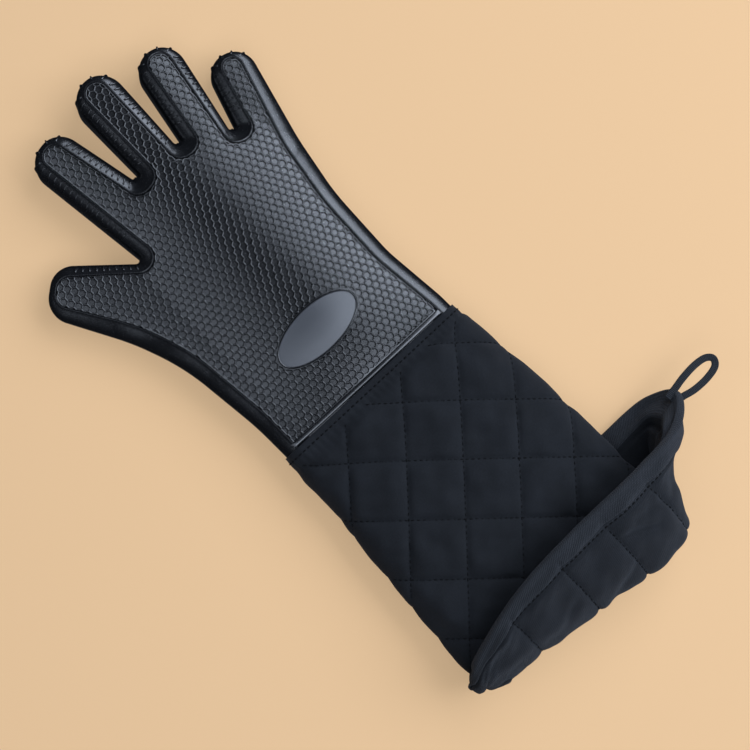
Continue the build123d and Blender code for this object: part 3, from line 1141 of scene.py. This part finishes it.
def lattice(across, along):
    """Position in the quilting, where the stitch lines are at the whole numbers."""
    m = np.linalg.inv(np.array([STEP_A, STEP_B]).T)
    p = np.stack([across - CROSSING[0], along - CROSSING[1]], -1)
    return p @ m.T


def ridge(d):
    """0 at a stitch line and 1 half way to the next one, steep at first."""
    d = 1 - np.abs(2 * (d - np.floor(d)) - 1)
    return 1 - (1 - d) ** RIDGE_SHARP


def smooth(t):
    """From 0 to 1 as t does, level at both ends."""
    t = np.clip(t, 0, 1)
    return t * t * (3 - 2 * t)


def seeded_wrinkles(across, along):
    """Soft unevenness of padded cloth, as a sum of a few waves."""
    rng = np.random.default_rng(SEED)
    total = np.zeros_like(across)
    for _ in range(WRINKLES):
        a = rng.uniform(0, 2 * math.pi)
        length = rng.uniform(*WRINKLE_LENGTHS)
        phase = rng.uniform(0, 2 * math.pi)
        place = across * math.cos(a) + along * math.sin(a)
        total += length / WRINKLE_LENGTHS[1] * np.sin(2 * math.pi * place / length + phase)
    return total / 4


def rest(face):
    """Cloth that would go below the floor lies flat on it instead."""
    z, room = face[..., 2], LIES_FROM - LIES_AT
    sunk = LIES_FROM - room * (1 - np.exp(np.minimum(z - LIES_FROM, 0) / room))
    face[..., 2] = np.where(z < LIES_FROM, sunk, z)
    return face


def tube_puff():
    """The quilted puffs of the tube, from 0 at a stitch line to 1."""
    ab = lattice(flat_across, SEWN_EDGE[0] - flat_along)
    quilt = (ridge(ab[..., 0]) * ridge(ab[..., 1])) ** QUILT_POWER
    near_side = np.abs(np.abs(flat_across) - np.abs(flat_across[:, :1]))
    from_side = SIDE_LOW + (1 - SIDE_LOW) * smooth(near_side / SIDE_QUIET)
    return quilt * smooth((flat_along - PUFF_FROM) / PUFF_OVER) * from_side


def cuff_puff():
    """The puffs of the cuff, between its grooves and as far as the stitch line beside the binding."""
    lean = GROOVE_LEAN * (flat_along - FOLD_DOWN)
    nearest = np.min([np.abs(middle[..., 0] - groove - lean) for groove in CUFF_GROOVES], axis=0)
    strip = 1 - (1 - np.clip(nearest / GROOVE_REACH, 0, 1)) ** GROOVE_SHARP
    hem = RIM_DOWN - flat_along
    line = smooth(np.abs(hem - HEM_LINE) / HEM_HALF) * (1 - HEM_LEFT) + HEM_LEFT
    return strip**0.5 * line * smooth((hem - 1) / RIM_OVER) * CUFF_PUFF + CUFF_LEAST


def crease(start, end, deep):
    """How much a crease takes off the puffs: deepest half way between its ends."""
    run = np.array(end) - start
    at = middle[..., :2] - start
    share = np.clip(at @ run / (run @ run), 0, 1)
    away = np.linalg.norm(at - share[..., None] * run, axis=-1)
    above = smooth((middle[..., 2] - CREASE_ABOVE) / CREASE_OVER)
    return deep * above * np.exp(-((away / CREASE_HALF) ** 2)) * (1 - (2 * share - 1) ** 4)


def sleeve_faces():
    """The cover's and the lining's faces, as offsets of the middle surface."""
    on_cuff = smooth((flat_along - FOLD_DOWN + TURN_BEFORE) / TURN_OVER)
    puff = tube_puff() * (1 - on_cuff) + cuff_puff() * on_cuff
    puff = puff * (1 + WRINKLE_SHARE * seeded_wrinkles(flat_across, flat_along))
    puff = puff - sum(crease(*ends) for ends in CUFF_CREASES) * on_cuff
    sewn = SEWN_HALF * (SEWN_THIN + (1 - SEWN_THIN) * smooth(flat_along / SEWN_OVER))
    waves = np.sin(flat_across * 2 * math.pi / PUCKER_LONG + np.sin(flat_across / 9) * 2)
    pucker = PUCKER * waves * np.exp(-np.abs(flat_along - SEWN_OVER) / PUCKER_REACH) * smooth(flat_along / 4)
    cover = sewn + PUFF * puff + pucker
    lining = sewn + PUFF * LINING_PUFF * puff
    return rest(middle + outward * cover[..., None]), rest(middle - outward * lining[..., None])


def write_flat(obj, across, along):
    """The cloth's flat coordinates, from millimetres to metres, as the mesh's texture coordinates."""
    layer = obj.data.uv_layers.new(name="flat")
    flat = np.stack([across.ravel(), along.ravel()], 1) / 1000
    vertex = np.zeros(len(obj.data.loops), int)
    obj.data.loops.foreach_get("vertex_index", vertex)
    layer.data.foreach_set("uv", flat[vertex].ravel())


flat_across, flat_along = flat_coordinates()
cover_face, lining_face = sleeve_faces()


def grid_faces(rows, columns=COLUMNS, flip=False):
    """The quads of a tube with a number of rows of points round the sleeve."""
    faces = []
    for i in range(rows - 1):
        for j in range(columns):
            k = (j + 1) % columns
            quad = [i * columns + j, (i + 1) * columns + j, (i + 1) * columns + k, i * columns + k]
            faces.append(quad[::-1] if flip else quad)
    return faces


# At the wrist the cover and the lining turn in, to just inside their middle surface
TURNED_IN = 0.2
# The wadding lies this share of the way to each face, on every third row and every second column
FILL_SHARE, FILL_ROWS, FILL_COLUMNS = 0.35, 3, 2


def sleeve_blend(obj):
    """A piece of the sleeve keeps its place, with its transform applied."""
    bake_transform(obj)


def finish_padded(piece, name):
    """A layer of the sleeve stands for its two CAD panels, which are hidden."""
    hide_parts(name + "_back", name + "_palm")
    sleeve_blend(piece)


def make_sleeve():
    """The cover, the lining and the wadding between them."""
    turned = middle[:1] - outward[:1] * TURNED_IN
    across = np.concatenate([flat_across[:1], flat_across])
    along = np.concatenate([flat_along[:1] - 1, flat_along])
    for name, face, cloth in (("cover", cover_face, cover_cloth), ("lining", lining_face, lining_cloth)):
        verts = np.concatenate([turned, face]).reshape(-1, 3)
        faces = grid_faces(len(along), flip=name == "cover")
        piece = new_object("sleeve_" + name, verts, faces, cloth)
        write_flat(piece, across, along)
        finish_padded(piece, name)
    inner = middle[::FILL_ROWS] * (1 - FILL_SHARE)
    upper, lower = (inner + face[::FILL_ROWS] * FILL_SHARE for face in (cover_face, lining_face))
    fill = np.concatenate([upper, lower[::-1], upper[:1]])[:, ::FILL_COLUMNS]
    faces = grid_faces(len(fill), fill.shape[1], flip=True)
    piece = new_object("sleeve_wadding", fill.reshape(-1, 3), faces, wadding_look)
    finish_padded(piece, "wadding")


make_sleeve()

# ---------------------------------------------------------------- binding, loop and threads

TAPE_WIDE = 9.6
# The tape lies this far off the cloth, and this far where its edges touch it
TAPE_OFF, TAPE_EDGE = 1.1, 0.05
TAPE_BULGE = 0.7
# It follows the cloth up to this distance from the rim, then goes round with a radius
TAPE_TURN, TAPE_ROUND = 1.5, 2.9
# Waves of its edge along the rim: height, wave length over 2 pi and phase
TAPE_WAVES = ((0.07, 7.3, 0), (0.05, 3.1, 1))


def rim_frame():
    """Points along the rim, the directions up the cuff and out of the lining side, and tape positions."""
    edge = middle[-1]
    up = unit(edge - middle[-4])
    out = -outward[-1]
    out -= up * (out * up).sum(1)[:, None]
    return edge, up, unit(out), distances(edge)


def face_row(face, depth):
    """The row of a sleeve face at a distance from the rim."""
    at = len(middle) - 1 - depth / ROW_STEP
    low = int(at)
    return face[low] * (1 - (at - low)) + face[low + 1] * (at - low)


def make_binding():
    """Tape folded over the sleeve's raw edge, a little uneven along its length."""
    edge, up, out, along = rim_frame()
    wobble = sum(height * np.sin(along / length + phase) for height, length, phase in TAPE_WAVES)
    depths = np.linspace(TAPE_WIDE, TAPE_TURN, int(TAPE_WIDE / ROW_STEP) + 2)
    rows, flat = [], []
    for depth in depths:
        bulge = TAPE_OFF + TAPE_BULGE * math.sin(math.pi * (1 - depth / TAPE_WIDE) * 0.55)
        off = (bulge if depth < TAPE_WIDE else 0) + TAPE_EDGE
        rows.append(face_row(lining_face, depth) + out * off + up * wobble[:, None])
        flat.append(depth)
    for a in np.linspace(0.25, math.pi - 0.25, 9):
        rise = 1.2 + 2.0 * math.sin(a) + wobble
        rows.append(edge + out * (TAPE_ROUND * math.cos(a)) + up * rise[:, None])
        flat.append(-TAPE_ROUND * a)
    for depth in depths[::-1]:
        off = (TAPE_OFF if depth < TAPE_WIDE else 0) + TAPE_EDGE
        rows.append(face_row(cover_face, depth) - out * off)
        flat.append(-TAPE_ROUND * math.pi - depth)
    verts = np.array(rows).reshape(-1, 3)
    tape = new_object("binding_tape", verts, grid_faces(len(rows), flip=True), tape_cloth)
    write_flat(tape, np.repeat(along[None], len(rows), 0), np.repeat(np.array(flat)[:, None], COLUMNS, 1))
    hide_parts("rim_binding")
    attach(tape, "sleeve")


LOOP_PATH = [
    (123, -137.4, 33), (131, -136.4, 33.6), (139, -135.2, 34), (149.5, -134.9, 33.8), (157.6, -136.4, 33.4),
    (161.3, -140.2, 33.2), (158.4, -144.6, 33.2), (149.5, -146.2, 33.3), (139, -145.6, 33.6),
    (131, -143.6, 33.4), (123, -142.0, 32.6),
]
LOOP_HALF, LOOP_THICK, LOOP_SQUARE = 2.3, 1.2, 0.6
LOOP_SIDES = 28
# The sewn line along the loop's tape: how deep, where and how wide
LOOP_LINE, LOOP_LINE_AT, LOOP_LINE_HALF = 0.45, 0.2, 0.5
LOOP_LONG = 110


def loop_section():
    """The section of the loop's tape: places across it and heights, round and back to the first."""
    places = []
    for k in range(LOOP_SIDES):
        c, s = math.cos(2 * math.pi * k / LOOP_SIDES), math.sin(2 * math.pi * k / LOOP_SIDES)
        x = LOOP_HALF * math.copysign(abs(c) ** LOOP_SQUARE, c)
        z = LOOP_THICK * math.copysign(abs(s) ** LOOP_SQUARE, s)
        places.append((x, z * (1 - LOOP_LINE * math.exp(-((x - LOOP_LINE_AT) / LOOP_LINE_HALF) ** 2))))
    return places + places[:1]


def make_loop():
    """The hanging loop: a tape folded along its length and sewn along the fold."""
    path = np.array(LOOP_PATH, float)
    path = even(catmull(path, np.linspace(0, len(path) - 1, 400)), 110)
    along = unit(np.gradient(path, axis=0))
    up = unit(np.array([0.0, 0, 1.0]) - along * along[:, 2:])
    side = np.cross(up, along)
    strap = Surface()
    strap.grid(np.array([path + side * x + up * z for x, z in loop_section()]).transpose(1, 0, 2))
    verts, faces = weld(strap.points(), strap.faces, 4)
    loop = new_object("loop_tape", verts, faces, tape_cloth)
    tree = kdtree.KDTree(len(path))
    for i, p in enumerate(path):
        tree.insert(p, i)
    tree.balance()
    nearest = [tree.find(v)[1] for v in verts]
    across = [(v - path[i]) @ side[i] for v, i in zip(verts, nearest)]
    write_flat(loop, np.linspace(0, LOOP_LONG, len(path))[nearest], np.array(across))
    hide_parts("hanging_loop")
    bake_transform(loop)


STITCH_LONG, STITCH_PITCH, STITCH_R = 2.4, 3.7, 0.46
# Rings of a stitch: how far along it, and radius as a share of its own
STITCH_RINGS = ((0, 0.15), (0.08, 0.75), (0.3, 1.0), (0.7, 1.0), (0.92, 0.75), (1, 0.15))
# Where a track's first stitch starts, and how far a stitch arches up, as a share of its radius
STITCH_FIRST, STITCH_LIFT = 0.6, 0.6
# The quilting's stitches are pulled this far into the cloth
STITCH_SUNK = 0.1
# Distances of the stitch lines: the wrist's from the wrist seam, the binding's from the rim
WRIST_LINE, BINDING_LINE = 4.4, 12.3
# Where the quilting lines start and end, and the cuff's: from the wrist, before the fold, before the rim
QUILT_FROM, QUILT_TO, CUFF_FROM, CUFF_TO = 8, 6, 4, 12


def capsule(surface, a, b, up):
    """One stitch: a short rounded bar between two points."""
    along = (b - a) / np.linalg.norm(b - a)
    side = np.cross(up, along)
    side /= np.linalg.norm(side)
    lift = np.cross(along, side)
    rows = []
    for t, share in STITCH_RINGS:
        centre = a + (b - a) * t + lift * STITCH_R * STITCH_LIFT * math.sin(math.pi * t)
        radius = STITCH_R * share
        turns = np.linspace(0, 2 * math.pi, 7)[:-1]
        rows.append([centre + radius * (math.cos(k) * side + math.sin(k) * lift) for k in turns])
    surface.grid(rows, closed=True)


class FaceMap:
    """Finds the sleeve's face at a place given by column and row."""

    def __init__(self, face, sign):
        self.face, self.sign = face, sign

    def at(self, column, row):
        c, r = column % COLUMNS, min(max(row, 0), len(down) - 1.001)
        c0, r0 = int(c), int(r)
        c1, fc, fr = (c0 + 1) % COLUMNS, c - int(c), r - r0
        low = self.face[r0, c0] * (1 - fc) + self.face[r0, c1] * fc
        high = self.face[r0 + 1, c0] * (1 - fc) + self.face[r0 + 1, c1] * fc
        return low * (1 - fr) + high * fr, self.sign * outward[r0, c0]


def lay_stitches(surface, face_map, track, sink=0.0):
    """Stitches along a track of (column, row) places."""
    points, ups = (np.array(found) for found in zip(*(face_map.at(c, r) for c, r in track)))
    travelled = distances(points)
    start = STITCH_FIRST
    while start + STITCH_LONG < travelled[-1]:
        up = ups[int(np.searchsorted(travelled, start))]
        ends = [[np.interp(t, travelled, axis) for axis in points.T] for t in (start, start + STITCH_LONG)]
        capsule(surface, *(np.array(ends) - up * sink), up)
        start += STITCH_PITCH


def row_at(distance):
    """The sleeve's first row at a distance from the wrist."""
    return int(np.searchsorted(down, distance))


def line_track(over, first_column, first_row):
    """Where a stitch line crosses each row; over is how far each point lies past the line."""
    track = []
    for r, row in enumerate(over):
        hit = np.nonzero(row[:-1] * row[1:] <= 0)[0]
        if len(hit):
            c = hit[0]
            f = row[c] / (row[c] - row[c + 1]) if row[c] != row[c + 1] else 0
            track.append((first_column + c + f, first_row + r))
    return track


def quilting_tracks():
    """Tracks of the diagonal stitch lines on the tube, on the back and on the palm."""
    first_row, fold_row = row_at(QUILT_FROM), row_at(FOLD_DOWN - QUILT_TO)
    ab = lattice(flat_across, SEWN_EDGE[0] - flat_along)[first_row:fold_row]
    tracks = []
    for first in (1, HALF_ROUND + 1):
        for family in (0, 1):
            value = ab[:, first:first + HALF_ROUND - 2, family]
            for line in range(math.ceil(value.min()), math.floor(value.max()) + 1):
                tracks.append(line_track(value - line, first, first_row))
    return [track for track in tracks if len(track) > 4]


def cuff_tracks():
    """Tracks of the cuff's stitch lines, on both sides."""
    tracks = []
    for groove in CUFF_GROOVES:
        for first in (0, HALF_ROUND):
            track = []
            for r in range(row_at(FOLD_DOWN - CUFF_FROM), row_at(RIM_DOWN - CUFF_TO)):
                x = groove + GROOVE_LEAN * (down[r] - FOLD_DOWN)
                away = np.abs(middle[r, first:first + HALF_ROUND, 0] - x)
                track.append((first + int(np.argmin(away)), r))
            tracks.append(track)
    return tracks


def ring_track(distance):
    """A track right round the sleeve, at a distance from the wrist."""
    row = float(np.interp(distance, down, np.arange(len(down))))
    return [(c, row) for c in range(COLUMNS + 1)]


def make_threads():
    """The stitches, each a separate short bar."""
    cover_map, lining_map = FaceMap(cover_face, 1), FaceMap(lining_face, -1)
    quilting, wrist, rim = Surface(), Surface(), Surface()
    for track in quilting_tracks():
        lay_stitches(quilting, cover_map, track, STITCH_SUNK)
    for track in cuff_tracks():
        lay_stitches(quilting, lining_map, track, STITCH_SUNK)
    lay_stitches(wrist, cover_map, ring_track(WRIST_LINE))
    lay_stitches(rim, lining_map, ring_track(RIM_DOWN - BINDING_LINE))
    for name, surface in (("quilting_thread", quilting), ("wrist_thread", wrist), ("binding_thread", rim)):
        piece = new_object(name + "_stitches", surface.points(), surface.faces, thread_look)
        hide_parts(name)
        sleeve_blend(piece)


make_binding()
make_loop()
make_threads()

# ---------------------------------------------------------------- CAD nodes' own looks

# By the first word of a node's name
NODE_LOOKS = {
    "silicone": silicone, "liner": knit_look, "cover": cover_cloth, "wadding": wadding_look,
    "lining": lining_cloth, "rim": tape_cloth, "hanging": tape_cloth,
    "wrist": thread_look, "quilting": thread_look, "binding": thread_look,
}
for name, node in frame["nodes"].items():
    node.data.materials.clear()
    node.data.materials.append(NODE_LOOKS[name.split("_")[0]])

# ---------------------------------------------------------------- floor, light and camera


TARGET = np.array([5.5, 1.1, 13.5])
CAMERA_OFFSET = np.array([-147.0, 0.0, 1294.0])
# Height of the floor, in metres
FLOOR_Z = -0.0006
LAMP_COLOUR = (0.76, 0.85, 1.0)
# Softboxes: lean from straight up towards +X in degrees, slant along Y, distance and size in metres, power
LAMPS = {
    "key": (44.5, -0.12, 1.6, (2.4, 1.3), 45),
    "fill": (-29, 0.0, 1.6, (1.8, 0.9), 7.6),
    "low": (0, -0.45, 1.5, (1.6, 0.75), 11.0),
}


def add_to_stage(name, data):
    """A camera or lamp of the picture, which is no part of the glove."""
    obj = bpy.data.objects.new(name, data)
    bpy.context.scene.collection.objects.link(obj)
    return obj


def make_floor():
    """A plain pale floor that the silicone doesn't mirror."""
    look = Look("floor_look", Roughness=0.95, Specular_IOR_Level=0.0, Emission_Strength=0.55)
    set_values(look.shader, Emission_Color=(0.767, 0.546, 0.332, 1))
    look.colour(look.noise(3.0, 2).outputs["Fac"], (0.359, 0.224, 0.118), (0.363, 0.227, 0.12))
    bpy.ops.mesh.primitive_plane_add(size=8, location=(0, 0, FLOOR_Z))
    floor = bpy.context.object
    floor.name = "floor"
    floor.data.materials.append(look.material)
    floor.visible_glossy = False


def make_camera():
    """A long lens above the glove, with the glove lying diagonally across the picture."""
    camera = bpy.data.cameras.new("camera")
    camera.type, camera.lens, camera.sensor_width = "PERSP", 100, 36
    obj = add_to_stage("camera", camera)
    back = Vector(CAMERA_OFFSET).normalized()
    up = Vector((1, 1, 0)).normalized()
    up = (up - back * up.dot(back)).normalized()
    turn = Matrix((up.cross(back), up, back)).transposed().to_4x4()
    turn.translation = Vector(metres(TARGET + CAMERA_OFFSET))
    obj.matrix_world = turn
    bpy.context.scene.camera = obj


def make_lights():
    """A large softbox low on the little finger's side, and two dim ones: on the thumb's side, and high
    at the sleeve's end."""
    for name, (lean, along, distance, size, power) in LAMPS.items():
        light = bpy.data.lights.new(name, "AREA")
        light.shape, light.size, light.size_y = "RECTANGLE", size[0], size[1]
        light.energy, light.color = power, LAMP_COLOUR
        a = math.radians(lean)
        offset = distance * np.array([math.sin(a), along, math.cos(a)])
        obj = add_to_stage(name, light)
        obj.location = metres(TARGET) + offset
        aim = Vector(metres(TARGET)) - Vector(metres(TARGET) + offset)
        obj.rotation_euler = aim.to_track_quat("-Z", "Y").to_euler()
    world = bpy.data.worlds.new("studio")
    bpy.context.scene.world = world
    world.use_nodes = True
    set_values(world.node_tree.nodes["Background"], Color=(0.75, 0.82, 1.0, 1), Strength=0.03)


make_floor()
make_camera()
make_lights()
scene = bpy.context.scene
scene.view_settings.view_transform = "Standard"
scene.view_settings.look = "None"
